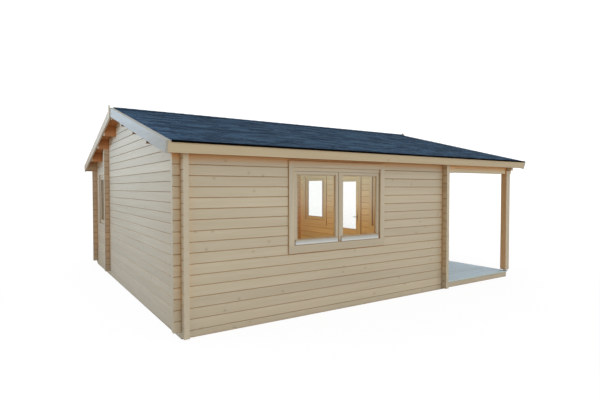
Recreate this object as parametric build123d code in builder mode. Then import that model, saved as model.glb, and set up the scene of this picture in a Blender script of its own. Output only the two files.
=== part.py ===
import os
from math import cos, floor, radians, sin, tan

from build123d import *

os.makedirs("parts", exist_ok=True)

# Log work, in millimetres
course = 135
log_thickness = 70
log_end = 98
seam_gap = 0.4
fit_gap = 0.4
groove = 10
overrun = 20

# Plan of the cabin, measured over the outer faces of the log walls
total_length = 6830
room_length = 4845
width = 6316
partition_distance = 4649

# Base and floors
foundation_height = 20
foundation_width = 70
floor_thickness = 28
floor_top = 100
bearer_width = 60
bearer_spacing = 600

# Roof
wall_height = 2396
roof_pitch = 14.6
eave_overhang = 205
verge_overhang = 206
roof_board_thickness = 19
shingle_thickness = 8
shingle_drip = 14
verge_fillet_width = 34
ridge_strip_width = 150
fascia_height = 131
fascia_thickness = 20
bargeboard_width = 150
bargeboard_thickness = 30
finial_width = 112
finial_height = 212
finial_rise = 46
finial_thickness = 18
finial_point = 40
purlin_width = 70
purlin_height = 185
purlin_shares = (0.25, 0.5, 0.75)

# Veranda
deck_top = 125
deck_thickness = 28
deck_nosing = 12
rim_thickness = 45
post_side = 120
post_foot_height = 30
foot_plate_side = 100
foot_plate_thickness = 6
foot_stem_diameter = 26

# Windows
casing_width = 90
casing_foot_width = 112
casing_lap = 45
casing_thickness = 20
frame_width = 49
frame_head_width = 98
mullion_width = 26
sash_width = 54
sash_head_width = 44
sash_foot_width = 70
sash_depth = 46
sash_setback = 8
glass_thickness = 8
glass_bite = 10
drip_bar_inset = 20
drip_bar_depth = 16
window_height = 1303
window_bottom = 907
front_window_width = 1812
front_window_centre = 2422
small_window_width = 1020
gable_window_distance = 882
veranda_window_spacing = 1285

# Door between the main room and the veranda
door_centre = 2695
door_leaf_width = 850
door_leaf_thickness = 42
door_leaf_top = 2103
door_clearance = 5
door_frame_width = 30
door_casing_width = 60
door_stop_width = 15
threshold_height = 25
door_stile_width = 130
door_glass_bottom = 880
door_glass_top = 1988
door_panel_bottom = 330
door_panel_top = 760
door_panel_recess = 11
hinge_radius = 7
hinge_leaf_height = 45
hinge_gap = 0.3
hinge_standoff = 2
hinge_inset = 220
handle_height = 1175
handle_backset = 62
handle_plate_width = 38
handle_plate_height = 220
handle_plate_thickness = 6
handle_plate_chamfer = 9
handle_neck_diameter = 18
handle_neck_length = 40
lever_length = 120
lever_diameter = 15

# Plain opening from the main room to the small room
passage_width = 800
passage_top = 2045
passage_centre = 2422

# Lines of the plan, with the origin under the middle of the roof
left = -total_length / 2
cross_face = left + room_length
cross_inner = cross_face - log_thickness
veranda_line = total_length / 2
front = -width / 2
back = width / 2
partition_front = front + partition_distance
partition_back = partition_front + log_thickness
left_roof_end = left - verge_overhang
right_roof_end = veranda_line + verge_overhang

# Levels of the log courses
base_seam = foundation_height + course / 2
eave_count = floor((wall_height - base_seam) / course) - 1
plate_bottom = base_seam + eave_count * course
beam_bottom = plate_bottom - course
ridge_height = wall_height + width / 2 * tan(radians(roof_pitch))
gable_count = floor((ridge_height - foundation_height) / course) + 1
partition_centre = partition_front + log_thickness / 2

# Places of the purlins across the cabin
front_purlins = [front + share * width / 2 for share in purlin_shares]
back_purlins = [-front_purlins[0], partition_centre, -front_purlins[2]]


def roof_under(y):
    """Height of the underside of the roof boards at a place across the cabin."""
    return wall_height + (width / 2 - abs(y)) * tan(radians(roof_pitch))


def purlin_bottom(y):
    """Height of a purlin's lower face."""
    return roof_under(y) - purlin_height


def panel(low_x, high_x, low_y, high_y, mode=Mode.ADD):
    """Draws a rectangle between two corners of the sketch."""
    with Locations(((low_x + high_x) / 2, (low_y + high_y) / 2)):
        Rectangle(high_x - low_x, high_y - low_y, mode=mode)


def log(low, high, bottom, top):
    """Draws the side of one log, with half a seam's gap above and below."""
    panel(low, high, bottom + seam_gap / 2, top - seam_gap / 2)


def logs(low, high, bottom, count):
    """Draws a stack of full logs of one length."""
    rows = [((low + high) / 2, bottom + (row + 1 / 2) * course) for row in range(count)]
    with Locations(*rows):
        Rectangle(high - low, course - seam_gap)


def notches(sides, bottom, count):
    """Cuts the seats of crossing logs, half a course high and a course apart, at the near sides given."""
    half = log_thickness / 2
    seats = [(side + half, bottom + (row + 1 / 4) * course) for side in sides for row in range(count)]
    with Locations(*seats):
        Rectangle(log_thickness + 2 * fit_gap, course / 2, mode=Mode.SUBTRACT)


def grooves(faces, first_seam, count):
    """Draws the V grooves of the seams on both faces of a log wall."""
    seams = [(face, first_seam + row * course) for face in faces for row in range(count)]
    with Locations(*seams):
        Rectangle(groove, groove, rotation=45)


def grown(pane, reach):
    """Gives a rectangle's sides moved out by a reach."""
    low_x, high_x, low_z, high_z = pane
    return low_x - reach, high_x + reach, low_z - reach, high_z + reach


def finish_piece(builder, name):
    """Labels a finished piece and writes it to its file."""
    builder.part.label = name
    export_step(builder.part, f"parts/{name}.step")


# Openings cut in the log walls, as low and high sides and levels
def window_opening(centre, outer_width):
    """Gives the sides and levels of the cut in the logs behind a window's casing."""
    half = outer_width / 2 - casing_lap
    low_level = window_bottom + casing_foot_width - casing_lap
    return centre - half, centre + half, low_level, window_bottom + window_height - casing_lap


front_window_x = left + front_window_centre
gable_window_y = back - gable_window_distance
door_y = front + door_centre
veranda_window_ys = (door_y - veranda_window_spacing, door_y + veranda_window_spacing)
door_sill = foundation_height + course
door_half = door_leaf_width / 2 + door_clearance + door_frame_width
door_head = door_leaf_top + door_clearance + door_frame_width
front_opening = window_opening(front_window_x, front_window_width)
gable_opening = window_opening(gable_window_y, small_window_width)
veranda_openings = [window_opening(y, small_window_width) for y in veranda_window_ys]
door_opening = (door_y - door_half, door_y + door_half, door_sill, door_head)
passage_x = left + passage_centre
passage_opening = (passage_x - passage_width / 2, passage_x + passage_width / 2, base_seam, passage_top)


# Eave walls: half a starter log, full courses, and a plate bevelled to the roof
def eave_wall(openings):
    with BuildPart() as wall:
        with BuildSketch(Plane.XZ.offset(width / 2)):
            log(left + log_thickness + fit_gap, cross_inner - fit_gap, foundation_height, base_seam)
            logs(left - log_end, cross_face + log_end, base_seam, eave_count - 1)
            log(left - log_end, veranda_line + log_end, beam_bottom, plate_bottom)
            log(left_roof_end, right_roof_end, plate_bottom, roof_under(front + log_thickness) + overrun)
            notches((left, cross_inner), base_seam + course / 2, eave_count + 1)
            notches((veranda_line - log_thickness,), plate_bottom, 1)
            for side in (left, cross_inner):
                low = side - fit_gap
                high = side + log_thickness + fit_gap
                panel(low, high, plate_bottom + course / 2, wall_height + course, mode=Mode.SUBTRACT)
            for opening in openings:
                panel(*opening, mode=Mode.SUBTRACT)
        extrude(amount=-log_thickness)
        with BuildSketch(Plane.YZ):
            grooves((front, front + log_thickness), base_seam, eave_count + 1)
            inside = front + log_thickness + overrun
            outside = front - overrun
            with BuildLine():
                Polyline(
                    (outside, roof_under(outside) - fit_gap),
                    (inside, roof_under(inside) - fit_gap),
                    (inside, wall_height + 2 * course),
                    (outside, wall_height + 2 * course),
                    close=True,
                )
            make_face()
        extrude(amount=total_length, both=True, mode=Mode.SUBTRACT)
    return wall


front_wall = eave_wall([front_opening])
finish_piece(front_wall, "front_wall")

plain_wall = eave_wall([])
with BuildPart() as back_wall:
    mirror(plain_wall.part, about=Plane.XZ)
finish_piece(back_wall, "back_wall")


# Gable walls: full courses up to the ridge, notched over the eave walls and under the purlins
def cut_to_roof():
    """Cuts the seats of the purlins and trims the logs to the underside of the roof."""
    for y in front_purlins + [0] + back_purlins:
        half = purlin_width / 2 + fit_gap
        panel(y - half, y + half, purlin_bottom(y) - fit_gap, ridge_height + overrun, mode=Mode.SUBTRACT)
    reach = width / 2 + eave_overhang
    Polygon(
        (-reach, 0),
        (reach, 0),
        (reach, roof_under(reach) - fit_gap),
        (0, ridge_height - fit_gap),
        (-reach, roof_under(reach) - fit_gap),
        align=None,
        mode=Mode.INTERSECT,
    )


def gable_wall(near_face, openings):
    with BuildPart() as wall:
        with BuildSketch(Plane.YZ.offset(near_face)):
            logs(front - log_end, back + log_end, foundation_height, eave_count + 1)
            upper_bottom = foundation_height + (eave_count + 1) * course
            logs(front, back, upper_bottom, gable_count - eave_count - 1)
            notches((front, back - log_thickness), base_seam, eave_count + 1)
            notches((partition_front,), base_seam, partition_count + 1)
            for opening in openings:
                panel(*opening, mode=Mode.SUBTRACT)
            cut_to_roof()
        extrude(amount=log_thickness)
        with BuildSketch(Plane.XZ):
            grooves((near_face, near_face + log_thickness), foundation_height + course, gable_count - 1)
        extrude(amount=width, both=True, mode=Mode.SUBTRACT)
    return wall


partition_top = purlin_bottom(partition_centre)
partition_count = floor((partition_top - base_seam) / course - 3 / 4)

left_gable_wall = gable_wall(left, [gable_opening])
finish_piece(left_gable_wall, "left_gable_wall")

veranda_wall = gable_wall(cross_inner, veranda_openings + [door_opening])
finish_piece(veranda_wall, "veranda_wall")

# Partition between the rooms, with a plain doorway, up to the purlin that it carries
with BuildPart() as partition_wall:
    with BuildSketch(Plane.XZ.offset(-partition_front)):
        log(left + log_thickness + fit_gap, cross_inner - fit_gap, foundation_height, base_seam)
        logs(left - log_end, cross_face + log_end, base_seam, partition_count)
        top_log_bottom = base_seam + partition_count * course
        log(left - log_end, cross_face + log_end, top_log_bottom, partition_top)
        notches((left, cross_inner), base_seam + course / 2, partition_count)
        for side in (left, cross_inner):
            low = side - fit_gap
            high = side + log_thickness + fit_gap
            panel(low, high, top_log_bottom + course / 2, partition_top + overrun, mode=Mode.SUBTRACT)
        panel(*passage_opening, mode=Mode.SUBTRACT)
    extrude(amount=-log_thickness)
    with BuildSketch(Plane.YZ):
        grooves((partition_front, partition_back), base_seam, partition_count + 1)
    extrude(amount=total_length, both=True, mode=Mode.SUBTRACT)
finish_piece(partition_wall, "partition_wall")

# Log gable over the veranda's open front, carried by the posts
with BuildPart() as veranda_gable:
    with BuildSketch(Plane.YZ.offset(veranda_line - log_thickness)):
        gable_reach = width / 2 + log_end
        first_bottom = foundation_height + eave_count * course
        log(-gable_reach, gable_reach, first_bottom, first_bottom + course)
        inner_reach = width / 2 - log_thickness - fit_gap
        logs(-inner_reach, inner_reach, first_bottom + course, gable_count - eave_count - 1)
        notches((front, back - log_thickness), first_bottom, 1)
        cut_to_roof()
    extrude(amount=log_thickness)
    with BuildSketch(Plane.XZ):
        first_seam = foundation_height + eave_count * course
        grooves((veranda_line - log_thickness, veranda_line), first_seam, gable_count - eave_count)
    extrude(amount=width, both=True, mode=Mode.SUBTRACT)
finish_piece(veranda_gable, "veranda_gable")


# Purlins from verge to verge, their tops bevelled to the slope
def purlin_row(places):
    with BuildPart() as purlins:
        with BuildSketch(Plane.YZ.offset(left_roof_end)):
            for y in places:
                half = purlin_width / 2
                panel(y - half, y + half, purlin_bottom(y), roof_under(y) + purlin_width)
            Polygon(
                (front, 0),
                (back, 0),
                (back, wall_height - fit_gap),
                (0, ridge_height - fit_gap),
                (front, wall_height - fit_gap),
                align=None,
                mode=Mode.INTERSECT,
            )
        extrude(amount=right_roof_end - left_roof_end)
    return purlins


ridge_purlin = purlin_row([0])
finish_piece(ridge_purlin, "ridge_purlin")
front_purlin_set = purlin_row(front_purlins)
finish_piece(front_purlin_set, "front_purlins")
back_purlin_set = purlin_row(back_purlins)
finish_piece(back_purlin_set, "back_purlins")


# Slopes of the roof, drawn on the front slope and mirrored for the back one
slope_cos = cos(radians(roof_pitch))
slope_sin = sin(radians(roof_pitch))
eave_end = front - eave_overhang


def slope_point(along, lift):
    """Gives a point of the front slope, from the boards' lower end up the slope and square to it."""
    y = eave_end + along * slope_cos - lift * slope_sin
    return y, roof_under(eave_end) + along * slope_sin + lift * slope_cos


def ridge_point(lift):
    """Gives the point over the ridge line at a height square to the slope."""
    return 0, ridge_height + lift / slope_cos


def slope_layer(start, low, high, near, far):
    """Makes a layer of the front slope between two heights, from its lower end to the ridge."""
    with BuildPart() as layer:
        with BuildSketch(Plane.YZ.offset(near)):
            with BuildLine():
                Polyline(
                    slope_point(start, low),
                    ridge_point(low),
                    ridge_point(high),
                    slope_point(start, high),
                    close=True,
                )
            make_face()
        extrude(amount=far - near)
    return layer


def mirrored(builder):
    """Makes the piece of the back slope that matches one of the front slope."""
    with BuildPart() as twin:
        mirror(builder.part, about=Plane.XZ)
    return twin


roof_top = roof_board_thickness + fit_gap + shingle_thickness
front_roof_boards = slope_layer(0, 0, roof_board_thickness, left_roof_end, right_roof_end)
finish_piece(front_roof_boards, "front_roof_boards")
finish_piece(mirrored(front_roof_boards), "back_roof_boards")

shingle_start = -fascia_thickness - shingle_drip
shingle_bottom = roof_board_thickness + fit_gap
shingle_low_x = left_roof_end + verge_fillet_width
shingle_high_x = right_roof_end - verge_fillet_width
front_shingles = slope_layer(shingle_start, shingle_bottom, roof_top, shingle_low_x, shingle_high_x)
finish_piece(front_shingles, "front_shingles")
finish_piece(mirrored(front_shingles), "back_shingles")

# Folded strip of shingles over the ridge
with BuildPart() as ridge_strip:
    with BuildSketch(Plane.YZ.offset(shingle_low_x)):
        strip_low = roof_top + fit_gap
        strip_high = strip_low + shingle_thickness
        drop = ridge_strip_width * slope_sin
        run = ridge_strip_width * slope_cos
        low_y, low_z = ridge_point(strip_low)
        high_y, high_z = ridge_point(strip_high)
        with BuildLine():
            Polyline(
                (-run, low_z - drop),
                (low_y, low_z),
                (run, low_z - drop),
                (run, high_z - drop),
                (high_y, high_z),
                (-run, high_z - drop),
                close=True,
            )
        make_face()
    extrude(amount=shingle_high_x - shingle_low_x)
finish_piece(ridge_strip, "ridge_shingles")

# Fascia boards square to the slope, between the bargeboards
with BuildPart() as front_fascia:
    with BuildSketch(Plane.YZ.offset(left_roof_end)):
        with BuildLine():
            Polyline(
                slope_point(-fit_gap, roof_board_thickness),
                slope_point(-fascia_thickness, roof_board_thickness),
                slope_point(-fascia_thickness, roof_board_thickness - fascia_height),
                slope_point(-fit_gap, roof_board_thickness - fascia_height),
                close=True,
            )
        make_face()
    extrude(amount=right_roof_end - left_roof_end)
finish_piece(front_fascia, "front_fascia")
finish_piece(mirrored(front_fascia), "back_fascia")


# Bargeboards at both verges, their lower ends square to the slope, and fillets beside the shingles
def verge_pair(near, thickness, low):
    """Makes a board along each slope, level with the shingles' top and meeting at the ridge."""
    with BuildPart() as pair:
        with BuildSketch(Plane.YZ.offset(near)):
            with BuildLine():
                Polyline(
                    slope_point(-fascia_thickness, roof_top),
                    slope_point(-fascia_thickness, low),
                    ridge_point(low),
                    ridge_point(roof_top),
                    close=True,
                )
            make_face()
            panel(-fit_gap / 2, 0, 0, ridge_height + bargeboard_width, mode=Mode.SUBTRACT)
            mirror(about=Plane.YZ)
        extrude(amount=thickness)
    return pair


bargeboard_low = roof_top - bargeboard_width
left_bargeboard_x = left_roof_end - bargeboard_thickness - fit_gap
left_bargeboards = verge_pair(left_bargeboard_x, bargeboard_thickness, bargeboard_low)
finish_piece(left_bargeboards, "left_bargeboards")
veranda_bargeboards = verge_pair(right_roof_end + fit_gap, bargeboard_thickness, bargeboard_low)
finish_piece(veranda_bargeboards, "veranda_bargeboards")

fillet_thickness = verge_fillet_width - fit_gap
with BuildPart() as verge_fillets:
    for near in (left_roof_end, shingle_high_x + fit_gap):
        add(verge_pair(near, fillet_thickness, shingle_bottom).part)
finish_piece(verge_fillets, "verge_fillets")

# Pointed finial boards over the bargeboards' joints
finial_top = ridge_point(roof_top)[1] + finial_rise
left_finial_x = left_roof_end - bargeboard_thickness - finial_thickness - 2 * fit_gap
right_finial_x = right_roof_end + bargeboard_thickness + 2 * fit_gap
with BuildPart() as finials:
    for near in (left_finial_x, right_finial_x):
        with BuildSketch(Plane.YZ.offset(near)):
            half = finial_width / 2
            with BuildLine():
                Polyline(
                    (0, finial_top),
                    (half, finial_top - finial_point),
                    (half, finial_top - finial_height),
                    (0, finial_top - finial_height - finial_point),
                    (-half, finial_top - finial_height),
                    (-half, finial_top - finial_point),
                    close=True,
                )
            make_face()
        extrude(amount=finial_thickness)
finish_piece(finials, "finial_boards")

# Foundation boards under the log walls
with BuildPart() as foundation:
    with BuildSketch():
        for near in (left, cross_inner):
            panel(near, near + foundation_width, front, back)
        for near in (front, partition_front, back - foundation_width):
            panel(left + log_thickness + fit_gap, cross_inner - fit_gap, near, near + foundation_width)
    extrude(amount=foundation_height)
finish_piece(foundation, "foundation_boards")

# Floors of both rooms on their bearers
room_low_x = left + log_thickness + fit_gap
room_high_x = cross_inner - fit_gap
rooms = (
    (front + log_thickness + fit_gap, partition_front - fit_gap),
    (partition_back + fit_gap, back - log_thickness - fit_gap),
)
room_names = ("main_floor", "small_room_floor")
bearer_count = floor((room_high_x - room_low_x) / bearer_spacing)
with BuildPart() as floor_bearers:
    with BuildSketch():
        for low_y, high_y in rooms:
            with Locations(((room_low_x + room_high_x) / 2, (low_y + high_y) / 2)):
                with GridLocations(bearer_spacing, 0, bearer_count, 1):
                    Rectangle(bearer_width, high_y - low_y)
    extrude(amount=floor_top - floor_thickness)
finish_piece(floor_bearers, "floor_bearers")

for room_name, (low_y, high_y) in zip(room_names, rooms):
    with BuildPart() as room_floor:
        with BuildSketch(Plane.XY.offset(floor_top - floor_thickness)):
            panel(room_low_x, room_high_x, low_y, high_y)
        extrude(amount=floor_thickness)
    finish_piece(room_floor, room_name)

# Veranda deck on its rim beams and bearers, cut round the log ends of the cabin
log_end_x = cross_face + log_end + fit_gap
rim_outer_x = veranda_line - deck_nosing
rim_inner_x = rim_outer_x - rim_thickness
rim_reach = width / 2 - deck_nosing
bearer_reach = rim_reach - rim_thickness - fit_gap
deck_bottom = deck_top - deck_thickness
with BuildPart() as veranda_beams:
    with BuildSketch():
        for near in (-rim_reach, rim_reach - rim_thickness):
            panel(log_end_x, rim_outer_x, near, near + rim_thickness)
        panel(rim_inner_x, rim_outer_x, -bearer_reach, bearer_reach)
    extrude(amount=deck_bottom)
finish_piece(veranda_beams, "veranda_beams")

with BuildPart() as veranda_deck:
    with BuildSketch(Plane.XY.offset(deck_bottom)):
        panel(cross_face + fit_gap, veranda_line, front, back)
        for near in (front, partition_front, back - log_thickness):
            low_y = near - fit_gap
            panel(cross_face, log_end_x, low_y, near + log_thickness + fit_gap, mode=Mode.SUBTRACT)
    extrude(amount=deck_thickness)
finish_piece(veranda_deck, "veranda_deck")

veranda_bearer_count = floor((rim_inner_x - log_end_x) / bearer_spacing)
with BuildPart() as veranda_bearers:
    with BuildSketch():
        with Locations(((log_end_x + rim_inner_x) / 2, 0)):
            with GridLocations(bearer_spacing, 0, veranda_bearer_count, 1):
                Rectangle(bearer_width, 2 * bearer_reach)
    extrude(amount=deck_bottom)
finish_piece(veranda_bearers, "veranda_bearers")

# Corner posts on adjustable steel feet, forked at the top round the beams of the eave walls
post_x = veranda_line - log_thickness / 2
post_ys = (front + log_thickness / 2, back - log_thickness / 2)
post_places = [(post_x, y) for y in post_ys]
post_bottom = deck_top + post_foot_height
with BuildPart() as veranda_posts:
    with BuildSketch(Plane.XY.offset(post_bottom)):
        with Locations(*post_places):
            Rectangle(post_side, post_side)
    extrude(amount=beam_bottom + course / 2 - fit_gap - post_bottom)
    with BuildSketch(Plane.XY.offset(beam_bottom)):
        with Locations(*post_places):
            Rectangle(post_side + overrun, log_thickness + 2 * fit_gap)
    extrude(amount=course, mode=Mode.SUBTRACT)
finish_piece(veranda_posts, "veranda_posts")

with BuildPart() as post_feet:
    with BuildSketch(Plane.XY.offset(deck_top), Plane.XY.offset(post_bottom - foot_plate_thickness)):
        with Locations(*post_places):
            Rectangle(foot_plate_side, foot_plate_side)
    extrude(amount=foot_plate_thickness)
    with BuildSketch(Plane.XY.offset(deck_top)):
        with Locations(*post_places):
            Circle(foot_stem_diameter / 2)
    extrude(amount=post_foot_height)
finish_piece(post_feet, "post_feet")


# Windows: casings on both faces, a frame in the cut, sashes and their glass
def ring_bars(low_x, high_x, low_z, high_z, side, foot, head):
    """Draws four bars round an opening, the upright ones between the others."""
    panel(low_x, high_x, low_z, low_z + foot)
    panel(low_x, high_x, high_z - head, high_z)
    for near in (low_x, high_x - side):
        panel(near, near + side, low_z + foot + fit_gap, high_z - head - fit_gap)


def window_casing(face, places, outer_width):
    """Makes the flat casings of a row of windows, on the outside and the inside of the wall."""
    inner_face = face.offset(-log_thickness)
    with BuildPart() as casing:
        for plane, depth in ((face, casing_thickness), (inner_face, -casing_thickness)):
            with BuildSketch(plane):
                for place in places:
                    sides = (place - outer_width / 2, place + outer_width / 2)
                    levels = (window_bottom, window_bottom + window_height)
                    ring_bars(*sides, *levels, casing_width, casing_foot_width, casing_width)
            extrude(amount=depth)
    return casing


def frame_daylights(opening, sash_count):
    """Gives the clear openings inside a window's frame, one for each sash."""
    low_x, high_x, low_z, high_z = opening
    start = low_x + frame_width
    total = high_x - low_x - 2 * frame_width - (sash_count - 1) * mullion_width
    each = total / sash_count
    lights = []
    for sash in range(sash_count):
        near = start + sash * (each + mullion_width)
        lights.append((near, near + each, low_z + frame_width, high_z - frame_head_width))
    return lights


def window_frame(face, openings, sash_count):
    """Makes the frames that fill the cuts in the wall, with a mullion between two sashes."""
    with BuildPart() as frame:
        with BuildSketch(face):
            for opening in openings:
                bar = frame_width - fit_gap
                ring_bars(*grown(opening, -fit_gap), bar, bar, frame_head_width - fit_gap)
                for low_x, high_x, low_z, high_z in frame_daylights(opening, sash_count)[1:]:
                    panel(low_x - mullion_width, low_x, low_z + fit_gap, high_z - fit_gap)
        extrude(amount=-log_thickness)
    return frame


def sash_panes(openings, sash_count):
    """Gives the see-through part of each sash."""
    panes = []
    for opening in openings:
        for low_x, high_x, low_z, high_z in frame_daylights(opening, sash_count):
            side = sash_width + fit_gap
            foot = sash_foot_width + fit_gap
            head = sash_head_width + fit_gap
            panes.append((low_x + side, high_x - side, low_z + foot, high_z - head))
    return panes


glass_depth = sash_setback + (sash_depth - glass_thickness) / 2


def window_sashes(face, openings, sash_count):
    """Makes the sashes, each grooved for its glass."""
    panes = sash_panes(openings, sash_count)
    with BuildPart() as sashes:
        with BuildSketch(face.offset(-sash_setback)):
            for low_x, high_x, low_z, high_z in panes:
                sides = (low_x - sash_width, high_x + sash_width)
                levels = (low_z - sash_foot_width, high_z + sash_head_width)
                ring_bars(*sides, *levels, sash_width, sash_foot_width, sash_head_width)
        extrude(amount=-sash_depth)
        with BuildSketch(face.offset(fit_gap - glass_depth)):
            for pane in panes:
                panel(*grown(pane, glass_bite + fit_gap))
        extrude(amount=-glass_thickness - 2 * fit_gap, mode=Mode.SUBTRACT)
    return sashes


def window_glass(face, openings, sash_count):
    """Makes the panes of double glazing."""
    with BuildPart() as glass:
        with BuildSketch(face.offset(-glass_depth)):
            for pane in sash_panes(openings, sash_count):
                panel(*grown(pane, glass_bite))
        extrude(amount=-glass_thickness)
    return glass


front_face = Plane.XZ.offset(width / 2)
gable_face = Plane(origin=(left, 0, 0), x_dir=(0, -1, 0), z_dir=(-1, 0, 0))
veranda_face = Plane.YZ.offset(cross_face)
gable_place = -gable_window_y
gable_cut = window_opening(gable_place, small_window_width)

window_rows = (
    ("front_window", front_face, [front_window_x], [front_opening], front_window_width, 2),
    ("gable_window", gable_face, [gable_place], [gable_cut], small_window_width, 1),
    ("veranda_window", veranda_face, veranda_window_ys, veranda_openings, small_window_width, 1),
)
for row_name, face, places, cuts, outer_width, sash_count in window_rows:
    finish_piece(window_casing(face, places, outer_width), f"{row_name}_casing")
    finish_piece(window_frame(face, cuts, sash_count), f"{row_name}_frame")
    finish_piece(window_sashes(face, cuts, sash_count), f"{row_name}_sash")
    finish_piece(window_glass(face, cuts, sash_count), f"{row_name}_glass")

# Drip bars along the feet of the front window's sashes
with BuildPart() as drip_bars:
    with BuildSketch(front_face.offset(-sash_setback)):
        reach = sash_width - drip_bar_inset
        for low_x, high_x, low_z, high_z in sash_panes([front_opening], 2):
            panel(low_x - reach, high_x + reach, low_z - sash_foot_width, low_z)
    extrude(amount=drip_bar_depth)
finish_piece(drip_bars, "front_window_drip_bars")

# Door frame, casings and stops round the doorway
door_low, door_high, door_foot, door_top = door_opening
with BuildPart() as door_frame:
    with BuildSketch(veranda_face):
        threshold_top = door_foot + threshold_height
        panel(door_low + fit_gap, door_high - fit_gap, door_foot + fit_gap, threshold_top)
        panel(door_low + fit_gap, door_high - fit_gap, door_top - door_frame_width, door_top - fit_gap)
        jamb_top = door_top - door_frame_width - fit_gap
        for near in (door_low + fit_gap, door_high - door_frame_width):
            panel(near, near + door_frame_width - fit_gap, threshold_top + fit_gap, jamb_top)
    extrude(amount=-log_thickness)
finish_piece(door_frame, "door_frame")

with BuildPart() as door_casing:
    casing_low = door_low - casing_lap
    casing_high = door_high + casing_lap
    casing_top = door_top + casing_lap
    inner_face = veranda_face.offset(-log_thickness)
    casing_sides = ((veranda_face, door_casing_width, 1), (inner_face, casing_width, -1))
    for plane, bar, direction in casing_sides:
        with BuildSketch(plane):
            panel(casing_low, casing_high, casing_top - bar, casing_top)
            for near in (casing_low, casing_high - bar):
                panel(near, near + bar, threshold_top, casing_top - bar - fit_gap)
        extrude(amount=direction * casing_thickness)
finish_piece(door_casing, "door_casing")

leaf_low = door_y - door_leaf_width / 2
leaf_high = door_y + door_leaf_width / 2
leaf_bottom = threshold_top + door_clearance
jamb_low = leaf_low - door_clearance
jamb_high = leaf_high + door_clearance
stop_depth = door_leaf_thickness + door_clearance
with BuildPart() as door_stops:
    with BuildSketch(veranda_face.offset(-stop_depth)):
        stop_top = door_leaf_top + door_clearance - fit_gap
        panel(jamb_low + fit_gap, jamb_high - fit_gap, stop_top - door_stop_width, stop_top)
        for near in (jamb_low + fit_gap, jamb_high - fit_gap - door_stop_width):
            panel(near, near + door_stop_width, threshold_top + fit_gap, stop_top - door_stop_width - fit_gap)
    extrude(amount=stop_depth - log_thickness)
finish_piece(door_stops, "door_stops")

# Door leaf: half glazed above a recessed panel
glass_low = leaf_low + door_stile_width
glass_high = leaf_high - door_stile_width
door_pane = (glass_low, glass_high, door_glass_bottom, door_glass_top)
door_glass_depth = (door_leaf_thickness - glass_thickness) / 2
with BuildPart() as door_leaf:
    with BuildSketch(veranda_face):
        panel(leaf_low, leaf_high, leaf_bottom, door_leaf_top)
        panel(*door_pane, mode=Mode.SUBTRACT)
    extrude(amount=-door_leaf_thickness)
    with BuildSketch(veranda_face.offset(fit_gap - door_glass_depth)):
        panel(*grown(door_pane, glass_bite + fit_gap))
    extrude(amount=-glass_thickness - 2 * fit_gap, mode=Mode.SUBTRACT)
    recess_planes = (veranda_face, veranda_face.offset(door_panel_recess - door_leaf_thickness))
    with BuildSketch(*recess_planes):
        panel(glass_low, glass_high, door_panel_bottom, door_panel_top)
    extrude(amount=-door_panel_recess, mode=Mode.SUBTRACT)
finish_piece(door_leaf, "door_leaf")

with BuildPart() as door_glass:
    with BuildSketch(veranda_face.offset(-door_glass_depth)):
        panel(*grown(door_pane, glass_bite))
    extrude(amount=-glass_thickness)
finish_piece(door_glass, "door_glass")

# Lift-off hinges: a lower barrel on the jamb and an upper one on the leaf
hinge_x = cross_face + hinge_radius + hinge_standoff
hinge_y = leaf_high + door_clearance / 2
hinge_levels = (leaf_bottom + hinge_inset, door_leaf_top - hinge_inset)


def hinge_halves(low_y, high_y, offset):
    """Makes one half of each hinge: a barrel and the arm that fastens it."""
    with BuildPart() as halves:
        for level in hinge_levels:
            with BuildSketch(Plane.XY.offset(level + offset)):
                panel(cross_face, hinge_x, low_y, high_y)
                with Locations((hinge_x, hinge_y)):
                    Circle(hinge_radius)
            extrude(amount=hinge_leaf_height)
    return halves


fixed_hinges = hinge_halves(jamb_high, hinge_y + hinge_radius, -hinge_leaf_height)
finish_piece(fixed_hinges, "jamb_hinges")
moving_hinges = hinge_halves(hinge_y - hinge_radius, leaf_high, hinge_gap)
finish_piece(moving_hinges, "leaf_hinges")

# Lever handles on both faces of the leaf
handle_y = leaf_low + handle_backset
leaf_inner = veranda_face.offset(-door_leaf_thickness)
with BuildPart() as door_handle:
    for plane, direction in ((veranda_face, 1), (leaf_inner, -1)):
        with BuildSketch(plane):
            with Locations((handle_y, handle_height)):
                Rectangle(handle_plate_width, handle_plate_height)
            chamfer(vertices(), length=handle_plate_chamfer)
        extrude(amount=direction * handle_plate_thickness)
        with BuildSketch(plane):
            with Locations((handle_y, handle_height)):
                Circle(handle_neck_diameter / 2)
        extrude(amount=direction * handle_neck_length)
        lever_x = cross_face + handle_neck_length
        if direction < 0:
            lever_x = cross_face - door_leaf_thickness - handle_neck_length
        with BuildSketch(Plane.XZ.offset(handle_neck_diameter / 2 - handle_y)):
            with Locations((lever_x, handle_height)):
                Circle(lever_diameter / 2)
        extrude(amount=-lever_length)
finish_piece(door_handle, "door_handle")
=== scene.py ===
import math
import random

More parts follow.
